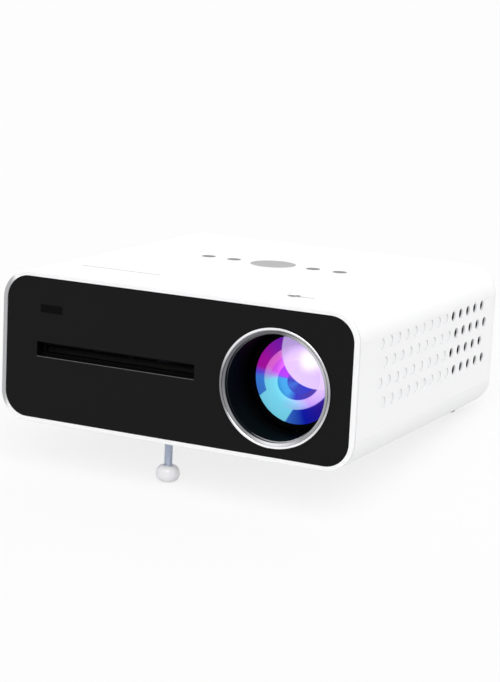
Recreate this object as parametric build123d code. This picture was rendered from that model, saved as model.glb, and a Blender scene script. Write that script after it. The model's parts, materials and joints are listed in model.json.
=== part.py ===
from build123d import *
import os
from math import asin, atan2, cos, degrees, hypot, radians, sin

# A desk projector with a slot for discs, standing nose up on its screw foot.
# It is drawn level, X to the right as seen from the front, Y to the back, Z up,
# with the middle of the front panel's face at zero, and tilted at the end.
# All sizes are in millimetres.

# Case
case_width = 272.4
case_height = 107.0
case_depth = 268.5
corner_radius = 20.65
rear_rounding = 12.75
wall = 2.6
fit_gap = 0.1
run_gap = 0.05

# Front frame and panel
lip_width = 3.2
lip_proud = 0.5
lip_depth = 2.0
lip_softness = 0.5
seam_gap = 0.4
panel_thickness = 3.0
frame_ledge = 2.0
spigot_depth = 9.0

# Vents in the sides: through holes at the back, shallow dimples in front of them
vent_radius = 3.75
vent_rows = (28.1, 14.8, 1.3, -12.4)
vent_pitch = 14.6
vent_rear_room = 98.2
vent_through_columns = 5
vent_blind_columns = 9
dimple_depth = 0.6
vent_wall = 1.4
vent_field_margin = 3.0

# Keys on top
key_row_y = 150.0
select_radius = 16.7
small_key_radius = 5.2
inner_key_offset = 32.5
outer_key_offset = 53.8
key_gap = 0.15
key_flange = 1.2
key_travel = 0.6
stem_radius = 1.6
key_board_drop = 7.6
board_thickness = 1.6
switch_height = 4.2
switch_side = 6.0

# Light bar on top
light_bar_side_room = 34.2
light_bar_length = 64.0
light_bar_y = 47.3
light_bar_width = 1.6

# Lens, on an axis that runs straight back. The slot and the bright ring leave some of
# the front's width free, and the shares say how much of that lies outside each of them.
lens_side_share = 0.2705
lens_z = -3.35
tube_radius = 36.0
tube_wall = 1.25
tube_recess = 1.4
hood_seat_depth = 24.0
guide_step = 0.6
tube_length = 66.0
tube_flange = 4.0
tube_flange_thickness = 2.5
bezel_width = 3.5
bezel_proud = 1.6
bezel_sleeve = 1.2
bezel_lip_width = 0.1
bezel_lip_proud = 1.3
bezel_eye_gap = 0.7
bezel_eye_proud = 0.9
bezel_groove_width = 0.3
bezel_groove_depth = 0.7
bezel_softness = 0.7
barrel_start = 30.5
barrel_length = 32.0
barrel_wall = 3.4
retainer_lip = 1.5
retainer_depth = 2.6
front_lens_edge = 4.0
front_lens_curve = 80.0
rear_lens_radius = 24.0
rear_lens_edge = 3.0
rear_lens_curve = 60.0

# Focus ring and its lever on top
focus_y = 34.0
focus_ring_length = 9.0
focus_ring_wall = 3.5
focus_swing = 8.0
focus_rest = -4.6
focus_travel = 4.0
focus_pin_radius = 1.5
lever_neck_radius = 1.6
lever_knob_base = 4.4
lever_knob_top = 1.9
lever_knob_height = 4.4
lever_clearance = 0.2
shutter_thickness = 1.2

# Light engine
engine_rear_room = 78.5
engine_foot = 6.0
engine_wall = 2.0
pane_side = 74.0
pane_gap = 0.5
pane_thickness = 2.0
first_field_lens_ahead = 82.0
lcd_ahead = 72.0
second_field_lens_ahead = 60.0
lcd_thickness = 3.4
lcd_recess = 0.5
lcd_border = 2.0
lcd_shape = 0.75
condenser_ahead = 40.0
condenser_edge = 4.0
condenser_curve = 70.0
led_board_thickness = 2.0
led_radius = 7.0
led_height = 4.0
sink_base = 5.0
sink_depth = 38.0
sink_fins = 13
fin_thickness = 1.6
sink_fan_gap = 3.0

# Exhaust fan behind the right side
fan_side = 50.0
fan_depth = 15.0
fan_rear_room = 27.5
fan_z = 2.4
fan_bore = 23.6
fan_hub_radius = 12.0
fan_blades = 7
fan_blade_gap = 0.9
fan_blade_pitch = 38.0
fan_blade_share = 0.9
fan_plate = 2.0
fan_rotor_gap = 0.3

# Disc slot and the disc drive behind it
slot_side_share = 0.4286
slot_width = 125.0
slot_bottom = -5.8
slot_height = 10.4
slot_chamfer = 0.6
throat_height = 6.2
bezel_step = 2.0
bezel_depth = 6.0
bezel_margin = 4.0
disc_radius = 60.0
disc_thickness = 1.2
drive_front = 10.0
drive_length = 134.0
drive_sheet = 1.0
drive_side_room = 2.0
drive_floor_drop = 12.4
drive_roof_rise = 7.6
roller_y = 18.0
roller_radius = 4.0
roller_shaft_radius = 1.5
pulley_gap = 0.5
pulley_width = 4.0
pulley_radius = 5.0
motor_pulley_radius = 2.5
belt_thickness = 0.8
loading_motor_y = 36.0
small_motor_radius = 3.9
small_motor_length = 20.0
disc_front_clearance = 4.0
turntable_radius = 14.0
turntable_thickness = 2.4
hub_radius = 7.4
hub_height = 2.1
spindle_radius = 1.2
spindle_motor_radius = 11.0
spindle_motor_height = 5.0
sled_length = 14.0
sled_width = 44.0
sled_height = 6.0
sled_reach = 23.0
pickup_lens_radius = 3.0
pickup_lens_height = 1.6
guide_spacing = 36.0
guide_radius = 1.5
screw_offset = 9.0
lead_screw_radius = 1.5
sled_motor_length = 4.6
screw_bearing = 3.0
screw_bearing_gap = 0.5
standoff_radius = 3.5
standoff_side_inset = 12.0
standoff_front_inset = 20.0
standoff_rear_inset = 8.0

# Boards, speaker and sockets
power_board_side_room = 26.2
power_board_width = 86.0
power_board_front = 40.0
power_board_rear_room = 16.0
board_post_height = 6.0
board_post_radius = 3.0
transformer_size = (26.0, 30.0, 22.0)
capacitor_radius = 8.0
capacitor_height = 24.0
main_board_side_room = 18.2
main_board_engine_room = 16.1
main_board_front_room = 20.0
main_board_rear_room = 6.5
main_post_height = 16.0
chip_size = (24.0, 24.0, 2.0)
board_recess = 3.0
video_offset = 66.0
video_size = (15.0, 12.0, 5.6)
video_shell = 0.5
jack_offset = 96.0
jack_size = (9.0, 14.0, 7.0)
jack_bore_radius = 1.8
jack_depth = 12.0
inlet_offset = 22.0
inlet_size = (26.0, 20.0, 14.0)
inlet_recess = (17.0, 14.0, 8.6)
inlet_pin_radius = 1.2
inlet_pin_spacing = 8.6
speaker_offset = 48.0
speaker_z = 14.0
speaker_radius = 22.0
speaker_depth = 20.0
speaker_magnet_radius = 12.0
speaker_flange = 2.0
grille_hole_radius = 1.2
grille_rings = 4
grille_pitch = 4.4

# Infra-red window at the left of the panel
window_inset = 11.1
window_z = 28.4
window_width = 17.4
window_height = 5.6
window_flange = 1.6
receiver_size = (8.0, 5.0, 7.0)

# Feet, tripod thread and screws
foot_x = -12.5
foot_y = 23.0
foot_drop = 32.5
foot_screw_radius = 3.0
foot_boss_radius = 7.5
foot_boss_height = 15.0
foot_insert_radius = 5.0
foot_knob_radius = 8.3
foot_knob_height = 11.6
foot_knob_softness = 5.0
rear_foot_side_room = 28.2
rear_foot_rear_room = 28.5
rear_foot_radius = 8.0
rear_foot_height = 5.0
rear_foot_softness = 1.0
tripod_behind_posts = 13.0
tripod_radius = 3.175
tripod_floor = 1.0
tripod_insert_radius = 5.5
tripod_depth = 10.0
tripod_boss_radius = 9.0
front_screw_side_room = 24.2
rear_screw_side_room = 48.2
screw_boss_gap = 1.0
screw_radius = 1.5
screw_head_radius = 2.8
screw_head_height = 1.8
screw_length = 12.0
screw_boss_radius = 4.5
screw_slot_width = 0.8
screw_slot_depth = 0.8

# Places worked out from the sizes above
half_width = case_width / 2
half_height = case_height / 2
inside_x = half_width - wall
inside_z = half_height - wall
split_height = half_height - corner_radius
cover_front = lip_depth + seam_gap
cover_back = case_depth - rear_rounding
rear_face = case_depth - wall
ring_radius = tube_radius + tube_wall + run_gap + bezel_width
free_width = case_width - slot_width - 2 * ring_radius
slot_start = slot_side_share * free_width - half_width
lens_x = half_width - lens_side_share * free_width - ring_radius
window_x = slot_start + window_inset
light_bar_start = light_bar_side_room - half_width
slot_x = slot_start + slot_width / 2
slot_z = slot_bottom + slot_height / 2
disc_y = drive_front + disc_front_clearance + disc_radius
disc_under = slot_z - disc_thickness / 2
drive_left = slot_start - drive_side_room
drive_right = slot_start + slot_width + drive_side_room
drive_back = drive_front + drive_length
drive_floor = slot_z - drive_floor_drop
drive_roof = slot_z + drive_roof_rise
engine_front = tube_length
engine_back = case_depth - engine_rear_room
engine_side = pane_side / 2 + pane_gap
engine_top = lens_z + engine_side
engine_bottom = lens_z - engine_side - engine_wall
fan_y = case_depth - fan_rear_room - fan_side / 2
lever_height = half_height - lens_z
barrel_bore = tube_radius - guide_step
lens_opening = barrel_bore - run_gap - barrel_wall - retainer_lip
shutter_radius = inside_z - lens_z - 4 * fit_gap
standoff_y = (drive_front + standoff_front_inset, drive_back - standoff_rear_inset)
tripod_y = standoff_y[1] + tripod_behind_posts
power_board_left = power_board_side_room - half_width
power_board_x = (power_board_left, power_board_left + power_board_width)
power_board_y = (power_board_front, drive_back - power_board_rear_room)
main_board_x = (main_board_side_room - half_width, lens_x - engine_side - main_board_engine_room)
main_board_y = (drive_back + main_board_front_room, case_depth - main_board_rear_room)
video_x = main_board_x[0] + video_offset
jack_x = main_board_x[0] + jack_offset
inlet_x = main_board_x[0] + inlet_offset
speaker_x = main_board_x[0] + speaker_offset
rear_foot_x = half_width - rear_foot_side_room
rear_foot_y = case_depth - rear_foot_rear_room


def block(x_range, y_range, z_range):
    """A box between two corners."""
    size = [high - low for low, high in (x_range, y_range, z_range)]
    middle = [(low + high) / 2 for low, high in (x_range, y_range, z_range)]
    return Pos(*middle) * Box(*size)


def centred(middle, half):
    """The low and high ends of a stretch about a middle."""
    return (middle - half, middle + half)


def rod(radius, start, end):
    """A round bar between two points."""
    way = Vector(*end) - Vector(*start)
    return extrude(Plane(origin=start, z_dir=way) * Circle(radius), amount=way.length)


def upright(radius, x, y, bottom, top):
    """A round bar that stands up."""
    return rod(radius, (x, y, bottom), (x, y, top))


def run_back(outline, start, end):
    """An outline drawn as seen from the front, run back from start to end."""
    return extrude(Plane.XZ.offset(-start) * outline, amount=start - end)


def turned(points, x=lens_x, z=lens_z):
    """A body turned about an axis that runs back, from points of radius and Y."""
    outline = make_face(Polyline(*points, close=True))
    return revolve(Pos(x, 0, z) * outline, axis=Axis((x, 0, z), (0, 1, 0)))


def case_outline(inset):
    """The rounded outline of the case, moved inwards."""
    return RectangleRounded(case_width - 2 * inset, case_height - 2 * inset, corner_radius - inset)


def case_ring(outer_inset, inner_inset, start, end):
    """A band of the case between two insets."""
    return run_back(case_outline(outer_inset) - case_outline(inner_inset), start, end)


def key_places():
    """Each key's name, its X and its radius."""
    return {
        "power_button": (-outer_key_offset, small_key_radius),
        "source_button": (-inner_key_offset, small_key_radius),
        "select_button": (0.0, select_radius),
        "back_button": (inner_key_offset, small_key_radius),
        "eject_button": (outer_key_offset, small_key_radius),
    }


def foot_bore():
    """The hole in the base that the foot's threaded insert fills."""
    return upright(foot_insert_radius, foot_x, foot_y, -half_height, -inside_z + foot_boss_height)


def make_top_cover():
    """Upper wall of the case with its two roundings, and posts for the key board."""
    cover = case_ring(0, wall, cover_front, cover_back)
    cover &= block((-half_width, half_width), (cover_front, cover_back), (split_height, half_height))
    for x, radius in key_places().values():
        cover -= upright(radius + key_gap, x, key_row_y, inside_z - wall, half_height + wall)
    bar_x = (light_bar_start - fit_gap, light_bar_start + light_bar_length + fit_gap)
    bar_y = centred(light_bar_y, light_bar_width / 2 + fit_gap)
    cover -= block(bar_x, bar_y, (inside_z - wall, half_height + wall))
    reach = lever_height * sin(radians(focus_swing)) + lever_neck_radius + 4 * fit_gap
    slot_y = centred(focus_y, lever_neck_radius + 2 * fit_gap)
    cover -= block(centred(lens_x, reach), slot_y, (inside_z - wall, half_height + wall))
    for x in (-key_board_half() + board_recess, key_board_half() - board_recess):
        for y in centred(key_row_y, select_radius - board_recess):
            cover += upright(board_post_radius, x, y, inside_z - key_board_drop, inside_z + wall / 2)
    return cover


def key_board_half():
    """Half the length of the key board."""
    return outer_key_offset + small_key_radius + 2 * board_post_radius + 2 * board_recess


def make_base_cover():
    """Lower wall of the case with its two roundings and its bosses."""
    cover = case_ring(0, wall, cover_front, cover_back)
    cover &= block((-half_width, half_width), (cover_front, cover_back), (-half_height, -split_height))
    floor = -inside_z - wall / 2
    cover += upright(foot_boss_radius, foot_x, foot_y, floor, -inside_z + foot_boss_height)
    cover += upright(tripod_boss_radius, 0, tripod_y, floor, -half_height + tripod_depth + wall)
    for x, y in screw_places():
        cover += upright(screw_boss_radius, x, y, floor, -half_height + screw_length + wall)
    for x, y in power_board_posts():
        cover += upright(board_post_radius, x, y, floor, -inside_z + board_post_height)
    for x, y in main_board_posts():
        cover += upright(board_post_radius, x, y, floor, -inside_z + main_post_height)
    cover -= foot_bore()
    cover -= upright(tripod_insert_radius, 0, tripod_y, -half_height, -half_height + tripod_depth)
    for x, y in screw_places():
        cover -= upright(screw_radius + run_gap, x, y, -half_height, -half_height + screw_length)
        recess = screw_head_height + 2 * fit_gap
        cover -= upright(screw_head_radius + 2 * fit_gap, x, y, -half_height, -half_height + recess)
    return cover


def screw_places():
    """Where the screws go into the base."""
    room = screw_boss_radius + screw_boss_gap
    front_y = panel_thickness + spigot_depth + room
    rear_y = cover_back - spigot_depth - room
    front = [(side * (half_width - front_screw_side_room), front_y) for side in (-1, 1)]
    rear = [(side * (half_width - rear_screw_side_room), rear_y) for side in (-1, 1)]
    return front + rear


def board_corners(x_range, y_range):
    """Post places near the four corners of a board."""
    return [
        (x, y)
        for x in (x_range[0] + board_recess, x_range[1] - board_recess)
        for y in (y_range[0] + board_recess, y_range[1] - board_recess)
    ]


def power_board_posts():
    """Post places under the power board."""
    return board_corners(power_board_x, power_board_y)


def main_board_posts():
    """Post places under the main board, clear of the rear cover's edge."""
    back = cover_back - spigot_depth - board_post_radius
    return board_corners(main_board_x, (main_board_y[0], back))


def make_side_panel(side):
    """Flat side, thinned where holes go through at the back, with dimples in front of them."""
    face = side * half_width
    inner = side * inside_x
    panel = block(sorted((inner, face)), (cover_front, cover_back), (-split_height, split_height))
    holes = []
    dimples = []
    first = case_depth - vent_rear_room
    field_front = first - vent_radius - vent_field_margin
    field_back = fan_y + fan_side / 2 + vent_field_margin
    panel -= block(
        sorted((inner - side, face - side * vent_wall)),
        (field_front, field_back),
        (-split_height, split_height),
    )
    for row, z in enumerate(vent_rows):
        start = first + (row % 2) * vent_pitch / 2
        for column in range(-vent_blind_columns, vent_through_columns):
            y = start + column * vent_pitch
            if column < 0:
                dimples.append(rod(vent_radius, (face - side * dimple_depth, y, z), (face + side, y, z)))
            else:
                holes.append(rod(vent_radius, (inner - side, y, z), (face + side, y, z)))
    return panel - holes - dimples


def make_rear_cover():
    """Back of the case with rounded edges, socket cut-outs and the speaker's grille."""
    outer = run_back(case_outline(0), cover_back, case_depth)
    outer = fillet(outer.faces().sort_by(Axis.Y)[-1].edges(), rear_rounding - 2 * run_gap)
    inner = run_back(case_outline(wall), cover_back, rear_face)
    inner = fillet(inner.faces().sort_by(Axis.Y)[-1].edges(), rear_rounding - wall - 2 * run_gap)
    cover = outer - inner
    cover += case_ring(wall + run_gap, wall + frame_ledge, cover_back - spigot_depth, cover_back)
    cover += case_ring(wall / 2, wall + frame_ledge, cover_back, cover_back + frame_ledge)
    cover -= socket_space(video_x, video_size, main_board_top())
    cover -= socket_space(jack_x, jack_size, main_board_top())
    cover -= socket_space(inlet_x, inlet_size, main_board_top())
    for ring in range(grille_rings + 1):
        count = max(1, 6 * ring)
        for index in range(count):
            angle = radians(360 * index / count)
            x = speaker_x + ring * grille_pitch * cos(angle)
            z = speaker_z + ring * grille_pitch * sin(angle)
            cover -= rod(grille_hole_radius, (x, rear_face - wall, z), (x, case_depth + wall, z))
    return cover


def main_board_top():
    """Height of the main board's upper face."""
    return -inside_z + main_post_height + board_thickness


def socket_space(x, size, bottom):
    """The room that a socket takes at the back, with its opening in the rear face."""
    return block(centred(x, size[0] / 2), (case_depth - size[1], case_depth), (bottom, bottom + size[2]))


def make_front_frame():
    """White lip round the panel, with the ledge that carries it and a spigot into the covers."""
    lip = case_ring(0, lip_width, -lip_proud, lip_depth)
    front = lip.faces().sort_by(Axis.Y)[0]
    lip = fillet(front.outer_wire().edges(), lip_softness)
    neck = case_ring(wall, lip_width, lip_depth, panel_thickness)
    spigot = case_ring(wall + run_gap, wall + frame_ledge, panel_thickness, panel_thickness + spigot_depth)
    return lip + neck + spigot


def make_front_panel():
    """Black front plate with the disc slot, the lens hole and the window."""
    panel = run_back(case_outline(lip_width + run_gap), 0, panel_thickness)
    panel -= block(
        (slot_start, slot_start + slot_width),
        (-wall, panel_thickness + wall),
        (slot_bottom, slot_bottom + slot_height),
    )
    edges = panel.edges().filter_by(Axis.X).filter_by_position(Axis.Y, -run_gap, run_gap)
    edges = edges.filter_by_position(Axis.Z, slot_bottom - run_gap, slot_bottom + run_gap)
    panel = chamfer(edges, slot_chamfer)
    hole = tube_radius + tube_wall + bezel_sleeve + 3 * run_gap
    panel -= rod(hole, (lens_x, -wall, lens_z), (lens_x, panel_thickness + wall, lens_z))
    panel -= block(
        centred(window_x, window_width / 2 + run_gap),
        (-wall, panel_thickness + wall),
        centred(window_z, window_height / 2 + run_gap),
    )
    return panel


def make_ir_window():
    """Dark window with a flange behind the panel."""
    pane = block(
        centred(window_x, window_width / 2), (0, panel_thickness), centred(window_z, window_height / 2)
    )
    flange = block(
        centred(window_x, window_width / 2 + window_flange),
        (panel_thickness, panel_thickness + window_flange),
        centred(window_z, window_height / 2 + window_flange),
    )
    eye = block(
        centred(window_x, receiver_size[0] / 2),
        (panel_thickness + window_flange, panel_thickness + window_flange + receiver_size[1]),
        centred(window_z, receiver_size[2] / 2),
    )
    return pane + flange + eye


def make_chrome_ring():
    """Bright bead round a shallow cone over the lens tube's front, with a sleeve through the panel."""
    eye = tube_radius + bezel_eye_gap
    eye_back = tube_recess - run_gap
    inner = tube_radius + tube_wall + run_gap
    sleeve = inner + bezel_sleeve
    groove = sleeve + bezel_lip_width
    bead = groove + bezel_groove_width
    groove_floor = bezel_groove_depth - bezel_lip_proud
    ring = turned([
        (eye, eye_back), (eye, -bezel_eye_proud), (sleeve, -bezel_lip_proud), (groove, -bezel_lip_proud),
        (groove, groove_floor), (bead, groove_floor), (bead, -bezel_proud),
        (ring_radius, -bezel_proud), (ring_radius, 0), (sleeve, 0),
        (sleeve, panel_thickness), (inner, panel_thickness), (inner, eye_back),
    ])
    front = ring.faces().sort_by(Axis.Y)[0]
    return fillet(front.edges(), bezel_softness)


def make_slot_bezel():
    """Black funnel behind the slot, which narrows to the disc's throat."""
    bezel = block(
        (slot_start - bezel_margin, slot_start + slot_width + bezel_margin),
        (panel_thickness, panel_thickness + bezel_depth),
        (slot_bottom - bezel_margin, slot_bottom + slot_height + bezel_margin),
    )
    mouth = block(
        (slot_start, slot_start + slot_width),
        (panel_thickness, panel_thickness + bezel_step),
        (slot_bottom, slot_bottom + slot_height),
    )
    throat = block(
        (slot_start, slot_start + slot_width),
        (panel_thickness, panel_thickness + bezel_depth),
        centred(slot_z, throat_height / 2),
    )
    return bezel - mouth - throat


def make_key(x, radius):
    """Round key, flush with the top, with a flange under the cover and a stem."""
    flange_top = inside_z - fit_gap
    cap = upright(radius, x, key_row_y, flange_top - key_flange, half_height)
    cap = fillet(cap.faces().sort_by(Axis.Z)[-1].edges(), 2 * key_gap)
    cap += upright(radius + key_flange, x, key_row_y, flange_top - key_flange, flange_top)
    stem_end = inside_z - key_board_drop + switch_height + key_travel + fit_gap
    return cap + upright(stem_radius, x, key_row_y, stem_end, flange_top - key_flange / 2)


def make_light_bar():
    """Light guide, flush with the top."""
    x_range = (light_bar_start, light_bar_start + light_bar_length)
    bar = block(x_range, centred(light_bar_y, light_bar_width / 2), (inside_z, half_height))
    flange_x = (x_range[0] - key_flange, x_range[1] + key_flange)
    flange_y = centred(light_bar_y, light_bar_width / 2 + key_flange)
    return bar + block(flange_x, flange_y, (inside_z - key_flange, inside_z))


def make_key_board():
    """Board under the keys with a switch for each."""
    top = inside_z - key_board_drop
    parts = block(
        centred(0, key_board_half()),
        centred(key_row_y, select_radius + board_recess),
        (top - board_thickness, top),
    )
    for x, _ in key_places().values():
        parts += block(
            centred(x, switch_side / 2), centred(key_row_y, switch_side / 2), (top, top + switch_height)
        )
    return parts


def make_lens_tube():
    """Fixed black tube that carries the focus ring and guides the barrel."""
    outer = tube_radius + tube_wall
    flange = outer + tube_flange
    flange_front = tube_length - tube_flange_thickness
    tube = turned([
        (tube_radius, tube_recess), (outer, tube_recess), (outer, flange_front),
        (flange, flange_front), (flange, tube_length), (barrel_bore, tube_length),
        (barrel_bore, hood_seat_depth), (tube_radius, hood_seat_depth),
    ])
    pin_swing = radians(2 * focus_swing)
    window_half = outer * sin(pin_swing) + focus_pin_radius + fit_gap
    window = block(
        centred(lens_x, window_half),
        centred(focus_y, focus_pin_radius + fit_gap),
        (lens_z - outer - wall, lens_z - barrel_bore * cos(pin_swing) + tube_wall),
    )
    return tube - window


def make_focus_ring():
    """Ring on the lens tube with the pin that drives the barrel."""
    inner = tube_radius + tube_wall + run_gap
    outer = inner + focus_ring_wall
    ring = turned([
        (inner, focus_y - focus_ring_length / 2), (outer, focus_y - focus_ring_length / 2),
        (outer, focus_y + focus_ring_length / 2), (inner, focus_y + focus_ring_length / 2),
    ])
    pin_tip = lens_z - barrel_bore + barrel_wall / 2
    pin_root = lens_z - inner - focus_ring_wall / 2
    pin = rod(focus_pin_radius, (lens_x, focus_y, pin_root), (lens_x, focus_y, pin_tip))
    return Pos(lens_x, 0, lens_z) * Rot(0, focus_rest, 0) * Pos(-lens_x, 0, -lens_z) * (ring + pin)


def make_focus_lever():
    """Lever on the focus ring: a knob above the top cover and a shutter under its slot."""
    ring_top = lens_z + tube_radius + tube_wall + run_gap + focus_ring_wall
    swing = radians(focus_swing)
    low_edge = lever_height + lever_clearance + lever_knob_base * sin(swing)
    knob_base = lens_z + low_edge / cos(swing)
    neck = rod(lever_neck_radius, (lens_x, focus_y, ring_top), (lens_x, focus_y, knob_base))
    knob = Pos(lens_x, focus_y, knob_base + lever_knob_height / 2)
    knob *= Cone(lever_knob_base, lever_knob_top, lever_knob_height)
    knob = fillet(knob.faces().sort_by(Axis.Z)[-1].edges(), lever_knob_top / 3)
    half_angle = 2 * focus_swing + degrees(2 * lever_neck_radius / shutter_radius)
    section = make_face(Polyline(
        (shutter_radius - shutter_thickness, focus_y - 2 * lever_neck_radius),
        (shutter_radius, focus_y - 2 * lever_neck_radius),
        (shutter_radius, focus_y + 2 * lever_neck_radius),
        (shutter_radius - shutter_thickness, focus_y + 2 * lever_neck_radius),
        close=True,
    ))
    shutter = revolve(section, axis=Axis.Y, revolution_arc=2 * half_angle)
    shutter = Pos(lens_x, 0, lens_z) * Rot(0, -90 - half_angle, 0) * shutter
    foot = block(
        centred(lens_x, 3 * lever_neck_radius),
        centred(focus_y, focus_ring_length / 2),
        (ring_top, ring_top + 2 * lever_neck_radius),
    )
    lever = neck + knob + shutter + foot
    return Pos(lens_x, 0, lens_z) * Rot(0, focus_rest, 0) * Pos(-lens_x, 0, -lens_z) * lever


def make_lens_barrel():
    """Sliding barrel with seats for both lenses and a groove for the drive pin."""
    outer = barrel_bore - run_gap
    inner = lens_seat()
    back = barrel_start + barrel_length
    seat = barrel_start + retainer_depth + front_lens_edge
    rear_seat = back - rear_lens_edge
    barrel = turned([
        (inner, barrel_start), (outer, barrel_start), (outer, back), (rear_lens_radius, back),
        (rear_lens_radius, rear_seat), (rear_lens_radius - tube_wall, rear_seat),
        (rear_lens_radius - tube_wall, rear_seat - barrel_wall),
        (inner - tube_wall, rear_seat - barrel_wall), (inner - tube_wall, seat), (inner, seat),
    ])
    half = focus_travel / 2 + focus_pin_radius + fit_gap
    groove_floor = barrel_bore - barrel_wall / 2 - 2 * fit_gap
    groove = turned([
        (groove_floor, focus_y + groove_shift() - half), (outer + wall, focus_y + groove_shift() - half),
        (outer + wall, focus_y + groove_shift() + half), (groove_floor, focus_y + groove_shift() + half),
    ])
    return barrel - groove


def groove_shift():
    """How far the groove's middle lies behind the pin at rest, as the rest is off the middle."""
    return focus_rest / focus_swing * focus_travel / 2


def lens_seat():
    """Radius of the bore that holds the front lens."""
    return barrel_bore - run_gap - barrel_wall


def make_lens_retainer():
    """Stepped ring that holds the front lens in the barrel."""
    outer = lens_seat() - run_gap
    step = (outer - lens_opening) / 2
    return turned([
        (outer, barrel_start), (outer, barrel_start + retainer_depth),
        (lens_opening, barrel_start + retainer_depth), (lens_opening, barrel_start + retainer_depth / 2),
        (lens_opening + step, barrel_start + retainer_depth / 2), (lens_opening + step, barrel_start),
    ])


def domed_lens(radius, edge_front, edge, curve):
    """Lens with a domed front and a flat back."""
    body = rod(radius, (lens_x, edge_front, lens_z), (lens_x, edge_front + edge, lens_z))
    rise = curve - (curve ** 2 - radius ** 2) ** 0.5
    dome = Pos(lens_x, edge_front - rise + curve, lens_z) * Sphere(curve)
    dome &= rod(radius, (lens_x, edge_front - rise - wall, lens_z), (lens_x, edge_front + edge, lens_z))
    return body + dome


def make_front_lens():
    """Coated front lens; its dome starts inside the retainer's opening."""
    start = barrel_start + retainer_depth
    rim = rod(
        lens_seat() - run_gap, (lens_x, start, lens_z), (lens_x, start + front_lens_edge, lens_z)
    )
    return rim + domed_lens(lens_opening - fit_gap, start, front_lens_edge, front_lens_curve)


def make_rear_lens():
    """Smaller lens at the back of the barrel."""
    start = barrel_start + barrel_length - rear_lens_edge
    end = start + rear_lens_edge
    lens = rod(rear_lens_radius - run_gap, (lens_x, start, lens_z), (lens_x, end, lens_z))
    return lens + domed_lens(
        rear_lens_radius - tube_wall - fit_gap, start, rear_lens_edge, rear_lens_curve
    )


def engine_x():
    """Left and right faces of the light engine's housing."""
    return centred(lens_x, engine_side + engine_wall)


def make_engine_housing():
    """Open-topped tub behind the lens tube, on four feet."""
    tub = block(engine_x(), (engine_front, engine_back), (engine_bottom, engine_top))
    tub -= block(
        centred(lens_x, engine_side),
        (engine_front + engine_wall, engine_back - engine_wall),
        (engine_bottom + engine_wall, engine_top),
    )
    tub -= rod(lens_opening, (lens_x, engine_front, lens_z), (lens_x, engine_front + engine_wall, lens_z))
    tub -= rod(
        led_radius + led_height, (lens_x, engine_back - engine_wall, lens_z), (lens_x, engine_back, lens_z)
    )
    for x in centred(lens_x, engine_side - 2 * engine_foot):
        for y in (engine_front + engine_foot, engine_back - engine_foot):
            tub += upright(engine_foot / 2, x, y, -inside_z, engine_bottom)
    return tub


def make_engine_lid():
    """Flat lid of the light engine."""
    return block(engine_x(), (engine_front, engine_back), (engine_top, engine_top + engine_wall))


def make_pane(ahead, thickness, recess=0):
    """Upright pane across the light engine, with a shallow window on its front."""
    start = engine_back - ahead
    bottom = engine_bottom + engine_wall
    pane = block(
        centred(lens_x, pane_side / 2), (start, start + thickness), (bottom, bottom + pane_side)
    )
    if recess:
        window = pane_side / 2 - lcd_border
        pane -= block(
            centred(lens_x, window), (start, start + recess), centred(lens_z, window * lcd_shape)
        )
    return pane


def make_condenser():
    """Domed lens that gathers the light."""
    return domed_lens(pane_side / 2, engine_back - condenser_ahead, condenser_edge, condenser_curve)


def make_led_board():
    """Board with the light source, in the rear wall's opening."""
    front = engine_back - engine_wall - led_board_thickness
    board = block(
        centred(lens_x, 3 * led_radius),
        (front, engine_back - engine_wall),
        centred(lens_z, 3 * led_radius),
    )
    dome = Pos(lens_x, front, lens_z) * Sphere(led_radius)
    dome &= block(
        centred(lens_x, led_radius), (front - led_height, front), centred(lens_z, led_radius)
    )
    slug = rod(
        led_radius + led_height / 2,
        (lens_x, engine_back - engine_wall, lens_z),
        (lens_x, engine_back, lens_z),
    )
    return board + dome + slug


def make_heat_sink():
    """Finned block on the back of the light engine."""
    x_range = (lens_x - engine_side, fan_x()[0] - sink_fan_gap)
    z_range = (engine_bottom, engine_top)
    sink = block(x_range, (engine_back, engine_back + sink_base), z_range)
    step = (x_range[1] - x_range[0] - fin_thickness) / (sink_fins - 1)
    for index in range(sink_fins):
        start = x_range[0] + index * step
        sink += block((start, start + fin_thickness), (engine_back, engine_back + sink_depth), z_range)
    return sink


def fan_x():
    """The fan's inner and outer faces; it sits on the thinned field behind the vents."""
    outer = half_width - vent_wall
    return (outer - fan_depth, outer)


def make_fan_frame():
    """Square fan frame with a bore and the motor's seat on three struts."""
    frame = block(fan_x(), centred(fan_y, fan_side / 2), centred(fan_z, fan_side / 2))
    frame -= rod(fan_bore, (fan_x()[0], fan_y, fan_z), (fan_x()[1], fan_y, fan_z))
    seat_end = fan_x()[0] + fan_plate
    frame += rod(fan_hub_radius, (fan_x()[0], fan_y, fan_z), (seat_end, fan_y, fan_z))
    for index in range(3):
        strut = block((fan_x()[0], seat_end), centred(0, fan_plate), (0, fan_bore + fan_plate / 2))
        frame += Pos(0, fan_y, fan_z) * Rot(120 * index, 0, 0) * strut
    return frame


def make_fan_rotor():
    """Hub with pitched blades."""
    start = fan_x()[0] + fan_plate + fan_rotor_gap
    end = fan_x()[1] - fan_plate
    rotor = rod(fan_hub_radius, (start, fan_y, fan_z), (end, fan_y, fan_z))
    tip = fan_bore - fan_blade_gap
    chord = (end - start) * fan_blade_share
    middle = (start + end) / 2
    keep = rod(tip, (start, fan_y, fan_z), (end, fan_y, fan_z))
    for index in range(fan_blades):
        blade = Pos(0, 0, tip / 2) * Rot(0, 0, fan_blade_pitch) * Box(chord, fin_thickness, tip)
        blade = Pos(middle, fan_y, fan_z) * Rot(360 / fan_blades * index, 0, 0) * blade
        rotor += blade & keep
    return rotor


def small_motor_z():
    """Height of the two small motors, which lie on the drive's floor."""
    return drive_floor + drive_sheet + small_motor_radius


def roller_z():
    """Height of the feed roller's axis, just under the disc."""
    return disc_under - roller_radius


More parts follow.
